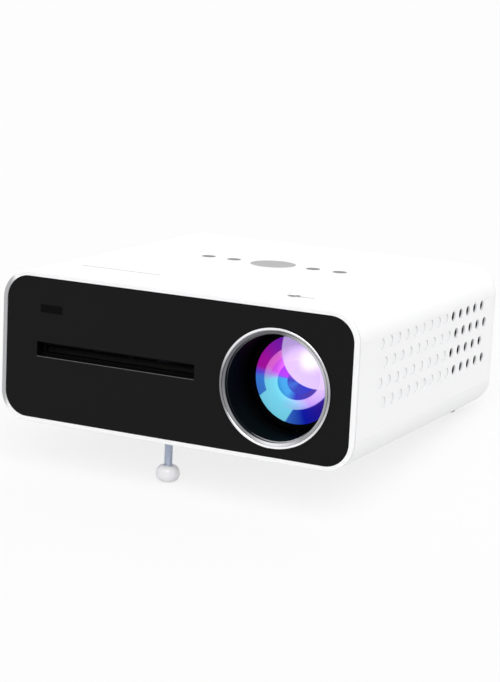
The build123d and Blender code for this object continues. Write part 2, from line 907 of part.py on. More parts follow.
def guide_y():
    """Where the guide rods start and end."""
    start = disc_y - turntable_radius - sled_height
    return (start, drive_back - drive_sheet)


def guide_z():
    """Height of the guide rods and the lead screw."""
    return drive_floor + drive_sheet + sled_height / 2 + 2 * fit_gap


def sled_y():
    """The sled's front and back at rest, at the disc's inner tracks."""
    middle = disc_y + sled_reach
    return centred(middle, sled_length / 2)


def make_drive_chassis():
    """Folded sheet tray with holes for the roller's shaft and blocks for the rods."""
    tray = block(
        (drive_left, drive_right), (drive_front, drive_back), (drive_floor, drive_roof)
    )
    tray -= block(
        (drive_left + drive_sheet, drive_right - drive_sheet),
        (drive_front - wall, drive_back - drive_sheet),
        (drive_floor + drive_sheet, drive_roof + wall),
    )
    shaft = rod(
        roller_shaft_radius + run_gap,
        (drive_left - wall, roller_y, roller_z()),
        (drive_right + wall, roller_y, roller_z()),
    )
    spindle = motor_shaft_hole()
    floor = drive_floor + drive_sheet
    for x in centred(slot_x, guide_spacing / 2):
        holder = block(
            centred(x, 2 * guide_radius),
            (guide_y()[0], guide_y()[0] + 2 * guide_radius),
            (floor, guide_z() + 2 * guide_radius),
        )
        tray += holder
        tray -= rod(guide_radius, (x, guide_y()[0], guide_z()), (x, guide_y()[1], guide_z()))
    x = slot_x + screw_offset
    bearing = (screw_start(), screw_start() + screw_bearing)
    tray += block(centred(x, screw_bearing), bearing, (floor, guide_z() + 2 * lead_screw_radius))
    tray -= rod(lead_screw_radius + run_gap, (x, bearing[0], guide_z()), (x, bearing[1], guide_z()))
    return tray - shaft - spindle


def motor_shaft_hole():
    """Hole in the drive's right wall for the loading motor's shaft."""
    return rod(
        spindle_radius + run_gap,
        (drive_right - 2 * drive_sheet, loading_motor_y, small_motor_z()),
        (drive_right + wall, loading_motor_y, small_motor_z()),
    )


def make_drive_cover():
    """Flat lid of the disc drive."""
    return block(
        (drive_left, drive_right), (drive_front, drive_back), (drive_roof, drive_roof + drive_sheet)
    )


def make_drive_standoffs():
    """Four posts that carry the disc drive on the base."""
    posts = []
    for x in (drive_left + standoff_side_inset, drive_right - standoff_side_inset):
        for y in standoff_y:
            posts.append(upright(standoff_radius, x, y, -inside_z, drive_floor))
    return posts


def make_feed_roller():
    """Rubber roller on its shaft, with the pulley outside the drive's wall."""
    outside = drive_right + pulley_gap
    roller = rod(
        roller_radius - fit_gap,
        (slot_start, roller_y, roller_z()),
        (slot_start + slot_width, roller_y, roller_z()),
    )
    roller += rod(
        roller_shaft_radius,
        (drive_left, roller_y, roller_z()),
        (outside + pulley_width, roller_y, roller_z()),
    )
    return roller + rod(
        pulley_radius, (outside, roller_y, roller_z()), (outside + pulley_width, roller_y, roller_z())
    )


def make_loading_motor():
    """Small motor that turns the feed roller through the belt."""
    end = drive_right - drive_sheet
    return rod(
        small_motor_radius,
        (end - small_motor_length, loading_motor_y, small_motor_z()),
        (end, loading_motor_y, small_motor_z()),
    )


def make_motor_pulley():
    """The loading motor's shaft with its pulley."""
    outside = drive_right + pulley_gap
    pulley = rod(
        motor_pulley_radius,
        (outside, loading_motor_y, small_motor_z()),
        (outside + pulley_width, loading_motor_y, small_motor_z()),
    )
    return pulley + rod(
        spindle_radius,
        (drive_right - drive_sheet + fit_gap, loading_motor_y, small_motor_z()),
        (outside, loading_motor_y, small_motor_z()),
    )


def belt_outline(extra):
    """The belt's path round both pulleys, with a margin, as seen from the right."""
    roller = Pos(roller_y, roller_z()) * Circle(pulley_radius + extra)
    motor = Pos(loading_motor_y, small_motor_z()) * Circle(motor_pulley_radius + extra)
    return make_hull(roller.edges() + motor.edges())


def make_drive_belt():
    """Flat loop of rubber round both pulleys."""
    ring = belt_outline(2 * run_gap + belt_thickness) - belt_outline(2 * run_gap)
    start = drive_right + 2 * pulley_gap
    return extrude(Plane.YZ.offset(start) * ring, amount=pulley_width - 2 * pulley_gap)


def make_spindle_motor():
    """Motor under the disc's middle, with a bore for the spindle."""
    bottom = drive_floor + drive_sheet
    motor = upright(spindle_motor_radius, slot_x, disc_y, bottom, bottom + spindle_motor_height)
    return motor - upright(
        spindle_radius + run_gap, slot_x, disc_y, bottom + drive_sheet, bottom + spindle_motor_height
    )


def make_turntable():
    """Turntable with a hub that fills the disc's hole, on its spindle."""
    table = upright(turntable_radius, slot_x, disc_y, disc_under - turntable_thickness, disc_under)
    hub = upright(hub_radius, slot_x, disc_y, disc_under, disc_under + hub_height)
    hub = chamfer(hub.faces().sort_by(Axis.Z)[-1].edges(), hub_height / 3)
    spindle_end = drive_floor + 2 * drive_sheet + 3 * fit_gap
    return table + hub + upright(spindle_radius, slot_x, disc_y, spindle_end, disc_under)


def make_pickup_sled():
    """Sled on two rods and the lead screw, with the pickup's lens on top."""
    y_range = sled_y()
    z_range = centred(guide_z(), sled_height / 2)
    sled = block(centred(slot_x, sled_width / 2), y_range, z_range)
    sled += upright(
        pickup_lens_radius, slot_x, sum(y_range) / 2, z_range[1], z_range[1] + pickup_lens_height
    )
    for x in centred(slot_x, guide_spacing / 2):
        sled -= rod(guide_radius + run_gap, (x, y_range[0], guide_z()), (x, y_range[1], guide_z()))
    x = slot_x + screw_offset
    bore = lead_screw_radius + run_gap
    return sled - rod(bore, (x, y_range[0], guide_z()), (x, y_range[1], guide_z()))


def make_guide_rods():
    """Two rods that the sled slides on."""
    return [
        rod(guide_radius, (x, guide_y()[0], guide_z()), (x, guide_y()[1], guide_z()))
        for x in centred(slot_x, guide_spacing / 2)
    ]


def screw_start():
    """Where the lead screw starts, in its bearing just behind the spindle's motor."""
    return disc_y + spindle_motor_radius + screw_bearing_gap


def screw_end():
    """Where the lead screw ends, at its motor by the drive's back wall."""
    return drive_back - drive_sheet - sled_motor_length


def make_lead_screw():
    """Screw that moves the sled, from its bearing to its motor."""
    x = slot_x + screw_offset
    return rod(lead_screw_radius, (x, screw_start(), guide_z()), (x, screw_end() - fit_gap, guide_z()))


def make_sled_motor():
    """Flat motor by the drive's back wall that turns the lead screw."""
    return block(
        centred(slot_x + screw_offset, small_motor_radius),
        (screw_end(), screw_end() + sled_motor_length),
        (drive_floor + drive_sheet, guide_z() + 2 * lead_screw_radius),
    )


def make_main_board():
    """Main board with two chips."""
    bottom = main_board_top() - board_thickness
    board = block(main_board_x, main_board_y, (bottom, main_board_top()))
    middle_y = main_board_y[0] + 2 * chip_size[1]
    for x in (main_board_x[0] + 2 * chip_size[0], main_board_x[1] - chip_size[0]):
        board += block(
            centred(x, chip_size[0] / 2),
            centred(middle_y, chip_size[1] / 2),
            (main_board_top(), main_board_top() + chip_size[2]),
        )
    return board


def make_power_board():
    """Power board with its transformer and two capacitors."""
    bottom = -inside_z + board_post_height
    top = bottom + board_thickness
    board = block(power_board_x, power_board_y, (bottom, top))
    width, depth, height = transformer_size
    x = power_board_x[0] + width
    y = power_board_y[0] + depth
    board += block(centred(x, width / 2), centred(y, depth / 2), (top, top + height))
    capacitor_x = x + width / 2 + 2 * capacitor_radius
    for index in range(2):
        capacitor_y = y + 3 * index * capacitor_radius
        board += upright(capacitor_radius, capacitor_x, capacitor_y, top, top + capacitor_height)
    return board


def make_speaker():
    """Round speaker behind the grille."""
    return turned([
        (0, rear_face - speaker_depth), (speaker_magnet_radius, rear_face - speaker_depth),
        (speaker_magnet_radius, rear_face - speaker_depth / 2),
        (speaker_radius, rear_face - speaker_flange), (speaker_radius, rear_face),
        (speaker_radius - speaker_flange, rear_face),
        (speaker_magnet_radius / 2, rear_face - speaker_depth / 3), (0, rear_face - speaker_depth / 3),
    ], speaker_x, speaker_z)


def make_power_inlet():
    """Two-pin mains inlet."""
    width, depth, height = inlet_recess
    inlet = socket_space(inlet_x, inlet_size, main_board_top())
    z = main_board_top() + inlet_size[2] / 2
    inlet -= block(centred(inlet_x, width / 2), (case_depth - depth, case_depth), centred(z, height / 2))
    for x in centred(inlet_x, inlet_pin_spacing / 2):
        inlet += rod(inlet_pin_radius, (x, case_depth - depth, z), (x, case_depth - wall, z))
    return inlet


def make_video_socket():
    """Flat metal video socket with its tongue."""
    width, depth, height = video_size
    bottom = main_board_top()
    z = bottom + height / 2
    socket = socket_space(video_x, video_size, bottom)
    socket -= block(
        centred(video_x, width / 2 - video_shell),
        (case_depth - depth + 2 * video_shell, case_depth),
        (bottom + video_shell, bottom + height - video_shell),
    )
    tongue = block(
        centred(video_x, width / 3),
        (case_depth - depth + video_shell, case_depth - wall),
        centred(z, video_shell),
    )
    return socket + tongue


def make_audio_jack():
    """Round audio and video socket."""
    z = main_board_top() + jack_size[2] / 2
    jack = socket_space(jack_x, jack_size, main_board_top())
    return jack - rod(jack_bore_radius, (jack_x, case_depth - jack_depth, z), (jack_x, case_depth, z))


def make_foot_screw():
    """Threaded shank of the foot."""
    top = -inside_z + foot_boss_height
    bottom = -half_height - foot_drop + foot_knob_height / 2
    return upright(foot_screw_radius, foot_x, foot_y, bottom, top)


def make_foot_knob():
    """Rounded knob under the foot's shank, which fills its bore."""
    bottom = -half_height - foot_drop
    knob = upright(foot_knob_radius, foot_x, foot_y, bottom, bottom + foot_knob_height)
    knob = fillet(knob.edges().filter_by(GeomType.CIRCLE), foot_knob_softness)
    return knob - upright(foot_screw_radius, foot_x, foot_y, bottom + foot_knob_height / 2, -half_height)


def make_foot_insert():
    """Brass thread for the foot."""
    top = -inside_z + foot_boss_height
    return foot_bore() - upright(foot_screw_radius + run_gap, foot_x, foot_y, -half_height, top)


def make_rear_feet():
    """Two rubber pads under the back."""
    pads = []
    for x in (-rear_foot_x, rear_foot_x):
        pad = upright(rear_foot_radius, x, rear_foot_y, -half_height - rear_foot_height, -half_height)
        pads.append(fillet(pad.faces().sort_by(Axis.Z)[0].edges(), rear_foot_softness))
    return pads


def make_tripod_insert():
    """Threaded insert for a camera stand."""
    top = -half_height + tripod_depth
    insert = upright(tripod_insert_radius, 0, tripod_y, -half_height, top)
    return insert - upright(tripod_radius, 0, tripod_y, -half_height, top - tripod_floor)


def make_base_screws():
    """Four screws in the base, sunk in their recesses."""
    screws = []
    for x, y in screw_places():
        head_bottom = -half_height + 2 * fit_gap
        head_top = head_bottom + screw_head_height
        screw = upright(screw_head_radius, x, y, head_bottom, head_top)
        screw += upright(screw_radius, x, y, head_top - fit_gap, -half_height + screw_length)
        depth = (head_bottom, head_bottom + screw_slot_depth)
        slot = block(centred(x, screw_slot_width / 2), centred(y, screw_radius), depth)
        cross = block(centred(x, screw_radius), centred(y, screw_slot_width / 2), depth)
        screws.append(screw - slot - cross)
    return screws


def tilt_angle():
    """Nose-up angle at which the foot and the rear pads touch one level."""
    foot_edge_y = foot_y + foot_knob_radius - foot_knob_softness
    foot_edge_z = -half_height - foot_drop + foot_knob_softness
    pad_edge_y = rear_foot_y + rear_foot_radius - rear_foot_softness
    pad_edge_z = -half_height - rear_foot_height + rear_foot_softness
    along = pad_edge_y - foot_edge_y
    drop = foot_edge_z - pad_edge_z
    return asin((foot_knob_softness - rear_foot_softness) / hypot(along, drop)) - atan2(drop, along)


def make_pieces():
    """Every piece by its name, level, with groups of like pieces as lists."""
    pieces = {
        "top_cover": make_top_cover(),
        "base_cover": make_base_cover(),
        "left_side_panel": make_side_panel(-1),
        "right_side_panel": make_side_panel(1),
        "rear_cover": make_rear_cover(),
        "front_frame": make_front_frame(),
        "front_panel": make_front_panel(),
        "ir_window": make_ir_window(),
        "chrome_ring": make_chrome_ring(),
        "slot_bezel": make_slot_bezel(),
        "status_light_bar": make_light_bar(),
        "key_board": make_key_board(),
        "lens_tube": make_lens_tube(),
        "focus_ring": make_focus_ring(),
        "focus_lever": make_focus_lever(),
        "lens_barrel": make_lens_barrel(),
        "lens_retainer": make_lens_retainer(),
        "front_lens": make_front_lens(),
        "rear_lens": make_rear_lens(),
        "engine_housing": make_engine_housing(),
        "engine_lid": make_engine_lid(),
        "front_field_lens": make_pane(first_field_lens_ahead, pane_thickness),
        "lcd_panel": make_pane(lcd_ahead, lcd_thickness, lcd_recess),
        "rear_field_lens": make_pane(second_field_lens_ahead, pane_thickness),
        "condenser_lens": make_condenser(),
        "led_board": make_led_board(),
        "heat_sink": make_heat_sink(),
        "fan_frame": make_fan_frame(),
        "fan_rotor": make_fan_rotor(),
        "drive_chassis": make_drive_chassis(),
        "drive_cover": make_drive_cover(),
        "drive_standoffs": make_drive_standoffs(),
        "feed_roller": make_feed_roller(),
        "loading_motor": make_loading_motor(),
        "motor_pulley": make_motor_pulley(),
        "drive_belt": make_drive_belt(),
        "spindle_motor": make_spindle_motor(),
        "turntable": make_turntable(),
        "pickup_sled": make_pickup_sled(),
        "guide_rods": make_guide_rods(),
        "lead_screw": make_lead_screw(),
        "sled_motor": make_sled_motor(),
        "main_board": make_main_board(),
        "power_board": make_power_board(),
        "speaker": make_speaker(),
        "power_inlet": make_power_inlet(),
        "video_socket": make_video_socket(),
        "audio_jack": make_audio_jack(),
        "foot_screw": make_foot_screw(),
        "foot_knob": make_foot_knob(),
        "foot_insert": make_foot_insert(),
        "rear_feet": make_rear_feet(),
        "tripod_insert": make_tripod_insert(),
        "base_screws": make_base_screws(),
    }
    for name, (x, radius) in key_places().items():
        pieces[name] = make_key(x, radius)
    return pieces


def solids_of(piece):
    """A piece's solids, whether it is one shape or a group."""
    shapes = piece if isinstance(piece, list) else [piece]
    return [solid for shape in shapes for solid in shape.solids()]


def placement(pieces):
    """The move that tilts the part and sets its box's lowest face at zero, under its middle."""
    tilt = Rot(-degrees(tilt_angle()), 0, 0)
    outermost = ("front_frame", "rear_cover", "foot_knob", "focus_lever", "chrome_ring")
    solids = [tilt * solid for name in outermost for solid in solids_of(pieces[name])]
    box = Compound(solids).bounding_box()
    return Pos(0, -(box.min.Y + box.max.Y) / 2, -box.min.Z) * tilt


def main():
    """Make each piece, stand it on its feet and write it."""
    os.makedirs("parts", exist_ok=True)
    pieces = make_pieces()
    place = placement(pieces)
    for name, piece in pieces.items():
        solids = [place * solid for solid in solids_of(piece)]
        shape = solids[0] if len(solids) == 1 else Compound(solids)
        shape.label = name
        export_step(shape, f"parts/{name}.step")


if __name__ == "__main__":
    main()
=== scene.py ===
import json
import math

import bpy
from mathutils import Matrix, Vector


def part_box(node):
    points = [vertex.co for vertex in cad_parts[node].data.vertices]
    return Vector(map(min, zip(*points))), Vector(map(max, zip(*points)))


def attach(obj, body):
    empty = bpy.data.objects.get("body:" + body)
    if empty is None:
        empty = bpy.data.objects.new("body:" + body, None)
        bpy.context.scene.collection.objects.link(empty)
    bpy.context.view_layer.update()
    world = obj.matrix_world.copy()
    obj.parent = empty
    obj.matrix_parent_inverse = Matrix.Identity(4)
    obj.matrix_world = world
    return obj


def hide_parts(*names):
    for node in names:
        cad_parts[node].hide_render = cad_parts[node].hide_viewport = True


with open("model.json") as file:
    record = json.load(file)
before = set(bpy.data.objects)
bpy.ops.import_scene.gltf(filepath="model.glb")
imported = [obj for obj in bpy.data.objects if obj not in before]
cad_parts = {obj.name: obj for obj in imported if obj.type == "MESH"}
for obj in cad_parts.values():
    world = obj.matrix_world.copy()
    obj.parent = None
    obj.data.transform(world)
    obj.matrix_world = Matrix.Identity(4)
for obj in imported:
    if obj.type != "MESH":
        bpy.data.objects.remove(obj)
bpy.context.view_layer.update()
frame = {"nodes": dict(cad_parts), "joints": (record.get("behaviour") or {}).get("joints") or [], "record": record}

# Sizes in metres, angles in degrees
MM = 0.001
PANEL_THICKNESS = 3.0 * MM

# The photograph's view of the middle of the panel's front, in the tilted case's own
# directions, with the camera's lens and sensor in millimetres
VIEW_AZIMUTH = 26.21
VIEW_ELEVATION = 11.01
VIEW_ROLL = 2.71
VIEW_DISTANCE = 1.33139
VIEW_RIGHT = 0.05276
VIEW_UP = 0.0182
VIEW_LENS = 103.98
VIEW_SENSOR = 36.0

# Floor and light
FLOOR_HALF = 6.0
FLOOR_DARK = (0.78, 0.78, 0.78, 1)
FLOOR_PALE = (0.81, 0.81, 0.81, 1)
FLOOR_SHOWN_WHITE = 0.8
SHOWN_WHITE = (1, 1, 1, 1)
AMBIENT_FROM = -0.2
AMBIENT_LOW = 0.3
AMBIENT_HIGH = 0.9
KEY_FROM = (0.4, -0.45, 0.85)
KEY_STRENGTH = 1.6
KEY_ANGLE = 50.0

# How far the painted shade in the case's white reaches round an inner corner
PAINTED_SHADE_REACH = 1.5 * MM

# The slot's chamfered lower edge and the painted highlight on it, from the middle of the panel's front
CHAMFER_START = -108.0 * MM
CHAMFER_LENGTH = 125.0 * MM
CHAMFER_DEPTH = 0.65 * MM
HIGHLIGHT_MIDDLE = -6.0 * MM
HIGHLIGHT_WIDTH = 0.42 * MM

# The painted shade on the front frame's left limb, from the middle of the panel's front. Its way
# leans, so that it reaches further round the upper corner than round the lower one.
LIMB_END = -127.5 * MM
LIMB_FULL = -132.5 * MM
LIMB_LEAN = -0.04

# Radii on the bright ring where its inner wall and its cone end, and the tube's lip
RING_EYE = 36.75 * MM
RING_CONE = 38.75 * MM
TUBE_LIP_DEPTH = 1.5 * MM

# Foot thread
THREAD_PITCH = 1.0 * MM
THREAD_DEPTH = 0.45 * MM
THREAD_SLOPE = 2.4
THREAD_AROUND = 32
THREAD_STEPS = 8


def joint_axis(name):
    """The axis of a joint, as the row frame has it."""
    return Vector(next(j["axis"] for j in frame["joints"] if j["name"] == name))


def mount_place(name):
    """The place of a mount in the row frame."""
    return Vector(next(m["pos_m"] for m in frame["record"]["mounts"] if m["name"] == name))


def box_middle(node):
    """The middle of a node's box."""
    low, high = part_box(node)
    return (low + high) / 2


RIGHT = joint_axis("fan_spin")
BACK = joint_axis("barrel_slide")
UP = joint_axis("foot_lift")
ORIGIN = box_middle("front_panel") - BACK * PANEL_THICKNESS / 2
LENS_CENTRE = mount_place("lens_hood_seat")


def turned_way(x, y, z):
    """A way or place in the tilted case's own directions, as one in the row frame."""
    return RIGHT * x + BACK * y + UP * z


def srgb(red, green, blue):
    """A screen colour of 0 to 255 as the linear colour that the shaders take."""
    def linear(value):
        value /= 255
        return value / 12.92 if value <= 0.04045 else ((value + 0.055) / 1.055) ** 2.4
    return (linear(red), linear(green), linear(blue), 1.0)


def greys(*stops):
    """Stops of degrees and grey as stops of degrees and hue."""
    return [(degrees, srgb(grey, grey, grey + 3)) for degrees, grey in stops]


def darker(colour, share):
    """A colour made darker by a share."""
    return tuple(value * (1 - share) for value in colour[:3]) + (1.0,)


def shares(whole, parts):
    """Each part as a share of a whole."""
    return [whole * part for part in parts]


# Whites, greys and blacks of the outer pieces
CASE_WHITE = srgb(248, 248, 249)
# Painted shade in the case's hollows, and on the front frame's left limb
HOLLOW_PAINTED_SHADE = srgb(176, 177, 180)
LIMB_PAINTED_SHADE = srgb(174, 175, 177)
PANEL_DARK = srgb(17, 17, 18)
PANEL_BLACK = srgb(19, 19, 20)
# Painted shade on the walls of the panel's openings
OPENING_PAINTED_SHADE = srgb(9, 9, 10)
# Painted highlight on the slot's chamfer
PAINTED_HIGHLIGHT_GREY = srgb(90, 90, 92)
# Painted dark reflection on the bright ring's inner wall
RING_WALL_PAINTED_REFLECTION = srgb(20, 20, 22)
TUBE_BLACK = srgb(6, 6, 8)

# Painted reflections by angle round the polished cone and bead, and painted highlights by angle round the satin
# lip of the tube
CONE_PAINTED_REFLECTIONS = greys(
    (-180, 124), (-150, 150), (-120, 140), (-95, 236), (-80, 232), (-55, 160), (-30, 168),
    (0, 166), (30, 210), (60, 196), (85, 104), (120, 112), (150, 112), (180, 124),
)
BEAD_PAINTED_REFLECTIONS = greys(
    (-180, 128), (-155, 140), (-125, 250), (-60, 250), (-30, 214), (0, 164), (30, 196),
    (60, 204), (90, 240), (120, 246), (150, 226), (170, 140), (180, 128),
)
LIP_PAINTED_HIGHLIGHTS = greys(
    (-180, 50), (-150, 34), (-118, 40), (-98, 200), (-62, 212), (-45, 50), (-30, 20),
    (90, 12), (108, 120), (122, 134), (150, 86), (180, 50),
)

# Hues of the lens's painted coating reflections and its painted glare
MAGENTA = srgb(178, 20, 172)
VIOLET = srgb(100, 32, 188)
BLUE_VIOLET = srgb(105, 72, 232)
BLUE = srgb(60, 132, 232)
CYAN = srgb(126, 226, 252)
DEEP_BLUE = srgb(14, 26, 176)
INDIGO = srgb(52, 22, 146)
PINK = srgb(232, 104, 222)
LILAC = srgb(188, 146, 246)
PALE_LILAC = srgb(214, 186, 250)
ORCHID = srgb(212, 84, 240)
TEAL_BLUE = srgb(44, 146, 214)
ROYAL_BLUE = srgb(24, 44, 166)
STEEL_BLUE = srgb(34, 88, 190)
SEA_BLUE = srgb(62, 122, 212)
POWDER_BLUE = srgb(152, 200, 248)
PURPLE = srgb(164, 30, 226)
GLARE = srgb(250, 246, 255)

# The coating zones are painted reflections, squeezed and leaning, as curved faces mirror them.
# Each one has its middle, in millimetres from the lens's axis, and its hues by angle, from the
# right, up and round. The outer zone has no end, and the inner ones start with their radius.
ZONE_SQUEEZE = 0.9
ZONE_LEAN = -0.15
ZONE_EDGE = 0.35 * MM
OUTER_ZONE = ((2.4, 2.6), (
    (-180, BLUE_VIOLET), (-172, BLUE), (-145, SEA_BLUE), (-100, SEA_BLUE), (-72, DEEP_BLUE),
    (-35, INDIGO), (60, BLUE_VIOLET), (115, VIOLET), (160, MAGENTA), (172, MAGENTA),
    (180, BLUE_VIOLET),
))
INNER_ZONES = (
    (22.3, (2.4, 2.6), (
        (-180, LILAC), (-165, CYAN), (-112, CYAN), (-84, POWDER_BLUE), (-55, LILAC),
        (0, PALE_LILAC), (100, PALE_LILAC), (140, PINK), (165, PINK), (180, LILAC),
    )),
    (17.0, (1.4, 2.4), (
        (-180, LILAC), (-168, CYAN), (-112, CYAN), (-84, POWDER_BLUE), (-55, LILAC),
        (0, PALE_LILAC), (100, PALE_LILAC), (135, ORCHID), (168, ORCHID), (180, LILAC),
    )),
    (13.8, (3.9, 1.2), (
        (-180, TEAL_BLUE), (-118, TEAL_BLUE), (-88, DEEP_BLUE), (-45, INDIGO), (90, VIOLET),
        (140, PURPLE), (168, PURPLE), (176, BLUE_VIOLET), (180, TEAL_BLUE),
    )),
    (9.0, (6.2, 1.0), (
        (-180, ROYAL_BLUE), (-150, STEEL_BLUE), (-110, ROYAL_BLUE), (-60, DEEP_BLUE),
        (0, DEEP_BLUE), (120, INDIGO), (165, VIOLET), (180, ROYAL_BLUE),
    )),
)

# Painted reflections: a wedge of cyan across the outer zone, as a beam from a point at the upper
# right, then a pale round patch and the painted glare in it, in millimetres from the lens's axis
WEDGE_POINT = (45.0, 45.0)
WEDGE_ANGLES = (-140.4, -124.7)
WEDGE_EDGE = 0.3
PATCH_CENTRE = (17.6, 25.2)
PATCH_RADIUS = 28.6
PATCH_STRENGTH = 0.86
GLARE_CENTRE = (11.2, 16.0)
GLARE_RADIUS = 12.5

# Scale of the slight changes of tone over a moulding, and each kind's range of roughness
# as shares of the stated one
BROAD = 18.0
GRAINED_GLOSS = (0.85, 1.15)
DRAWN_GLOSS = (0.8, 1.25)
CLEAR_GLOSS = (1.0, 1.5)


class Nodes:
    """A node tree, with short ways to add nodes and join them."""

    # Where a colour mix has its two colours and its result
    FIRST_COLOUR = 6
    SECOND_COLOUR = 7
    MIXED_COLOUR = 2

    def __init__(self, tree):
        self.tree = tree

    def add(self, kind, **settings):
        """A new node with its settings."""
        node = self.tree.nodes.new(kind)
        for key, value in settings.items():
            setattr(node, key, value)
        return node

    def give(self, value, socket):
        """Set a socket to a value, or lead another node's output to it."""
        if isinstance(value, bpy.types.NodeSocket):
            self.tree.links.new(value, socket)
        else:
            socket.default_value = value

    def math(self, operation, *values):
        """The result of an operation on one or two numbers."""
        node = self.add("ShaderNodeMath", operation=operation)
        for value, socket in zip(values, node.inputs):
            self.give(value, socket)
        return node.outputs["Value"]

    def length(self, x, z):
        """The length of a way from its two parts."""
        square = self.math("ADD", self.math("MULTIPLY", x, x), self.math("MULTIPLY", z, z))
        return self.math("SQRT", square)

    def moved_range(self, value, interpolation="LINEAR", **limits):
        """A value moved from one range to another, each of them 0 to 1 unless limits are given."""
        node = self.add("ShaderNodeMapRange", interpolation_type=interpolation)
        for key, limit in limits.items():
            self.give(limit, node.inputs[key.replace("_", " ")])
        self.give(value, node.inputs["Value"])
        return node.outputs["Result"]

    def ranged(self, value, low, high, interpolation="LINEAR"):
        """A value as 0 at its low limit and 1 at its high one."""
        return self.moved_range(value, interpolation, From_Min=low, From_Max=high)

    def spread(self, value, low, high):
        """A 0 to 1 value spread from low to high."""
        return self.moved_range(value, To_Min=low, To_Max=high)

    def blend(self, factor, first, second):
        """A mix of two colours."""
        node = self.add("ShaderNodeMix", data_type="RGBA")
        self.give(factor, node.inputs["Factor"])
        self.give(first, node.inputs[self.FIRST_COLOUR])
        self.give(second, node.inputs[self.SECOND_COLOUR])
        return node.outputs[self.MIXED_COLOUR]

    def seen(self):
        """1 for what the camera sees, also in metal and glass, and 0 for the light on things."""
        path = self.add("ShaderNodeLightPath")
        seen = path.outputs["Is Camera Ray"]
        for ray in ("Is Glossy Ray", "Is Transmission Ray"):
            seen = self.math("MAXIMUM", seen, path.outputs[ray])
        return seen

    def surface(self, factor, first, second, output):
        """Lead a mix of two shaders to the tree's output."""
        mix = self.add("ShaderNodeMixShader")
        for value, socket in zip((factor, first, second), mix.inputs):
            self.give(value, socket)
        self.give(mix.outputs["Shader"], self.tree.nodes[output].inputs["Surface"])


class Finish(Nodes):
    """The node tree of a material, round its principled shader."""

    def __init__(self, name):
        self.material = bpy.data.materials.new(name)
        self.material.use_nodes = True
        super().__init__(self.material.node_tree)
        self.shader = self.tree.nodes["Principled BSDF"]
        self.place = self.add("ShaderNodeTexCoord").outputs["Object"]

    def set(self, **values):
        """Set the shader's sockets by name, to values or to other nodes' outputs."""
        for key, value in values.items():
            self.give(value, self.shader.inputs[key.replace("_", " ")])

    def offsets(self, start, *ways):
        """How far the shaded place lies from a start along each way."""
        apart = self.add("ShaderNodeVectorMath", operation="SUBTRACT")
        self.give(self.place, apart.inputs[0])
        self.give(start, apart.inputs[1])
        lengths = []
        for way in ways:
            dot = self.add("ShaderNodeVectorMath", operation="DOT_PRODUCT")
            self.give(apart.outputs["Vector"], dot.inputs[0])
            self.give(way, dot.inputs[1])
            lengths.append(dot.outputs["Value"])
        return lengths

    def by_angle(self, x, z, hues):
        """A colour by the angle round a middle, from stops of degrees and hue."""
        ramp = self.add("ShaderNodeValToRGB")
        stops = ramp.color_ramp.elements
        while len(stops) < len(hues):
            stops.new(1.0)
        for stop, (degrees, hue) in zip(stops, hues):
            stop.position = (degrees + 180) / 360
            stop.color = hue
        turn = self.ranged(self.math("ARCTAN2", z, x), -math.pi, math.pi)
        self.give(turn, ramp.inputs["Fac"])
        return ramp.outputs["Color"]

    def noise(self, scale, detail=3.0, stretch=None):
        """Noise over the object's own place, stretched along its axes if asked."""
        source = self.place
        if stretch:
            mapping = self.add("ShaderNodeMapping")
            self.give(stretch, mapping.inputs["Scale"])
            self.give(self.place, mapping.inputs["Vector"])
            source = mapping.outputs["Vector"]
        node = self.add("ShaderNodeTexNoise")
        self.give(scale, node.inputs["Scale"])
        self.give(detail, node.inputs["Detail"])
        self.give(source, node.inputs["Vector"])
        return node.outputs["Fac"]

    def bump(self, height, depth, strength, edge=0.0):
        """Bump from a height, over softened edges if asked."""
        node = self.add("ShaderNodeBump")
        self.give(depth, node.inputs["Distance"])
        self.give(strength, node.inputs["Strength"])
        self.give(height, node.inputs["Height"])
        if edge:
            soft = self.add("ShaderNodeBevel", samples=4)
            self.give(edge, soft.inputs["Radius"])
            self.give(soft.outputs["Normal"], node.inputs["Normal"])
        self.set(Normal=node.outputs["Normal"])

    def grain(self, scale, rough, depth, edge=0.0):
        """A fine grain in the bump and in the gloss, between two roughnesses."""
        fine = self.noise(scale, detail=2.0)
        self.set(Roughness=self.spread(fine, *rough))
        self.bump(fine, depth, strength=0.5, edge=edge)


def grained(name, colour, roughness, grain, depth, vary, edge=0.0, **more):
    """Moulded plastic or rubber: a fine grain, with slight changes of tone and gloss."""
    nodes = Finish(name)
    nodes.set(Base_Color=nodes.blend(nodes.noise(BROAD), darker(colour, vary), colour), **more)
    nodes.grain(grain, shares(roughness, GRAINED_GLOSS), depth, edge)
    return nodes.material


def metal(name, colour, roughness, stretch=(1, 1, 1)):
    """Metal with fine drawn lines along its longer way."""
    nodes = Finish(name)
    lines = nodes.noise(scale=900.0, detail=4.0, stretch=stretch)
    nodes.set(
        Base_Color=nodes.blend(lines, darker(colour, 0.1), colour),
        Roughness=nodes.spread(lines, *shares(roughness, DRAWN_GLOSS)),
        Metallic=1.0,
    )
    nodes.bump(lines, depth=0.01 * MM, strength=0.4)
    return nodes.material


def glassy(name, colour, roughness, index):
    """Clear glass or acrylic with faint unevenness."""
    nodes = Finish(name)
    wave = nodes.noise(scale=60.0)
    rough = nodes.spread(wave, *shares(roughness, CLEAR_GLOSS))
    nodes.set(Base_Color=colour, Roughness=rough, Transmission_Weight=1.0, IOR=index)
    nodes.bump(wave, depth=0.005 * MM, strength=0.2)
    return nodes.material


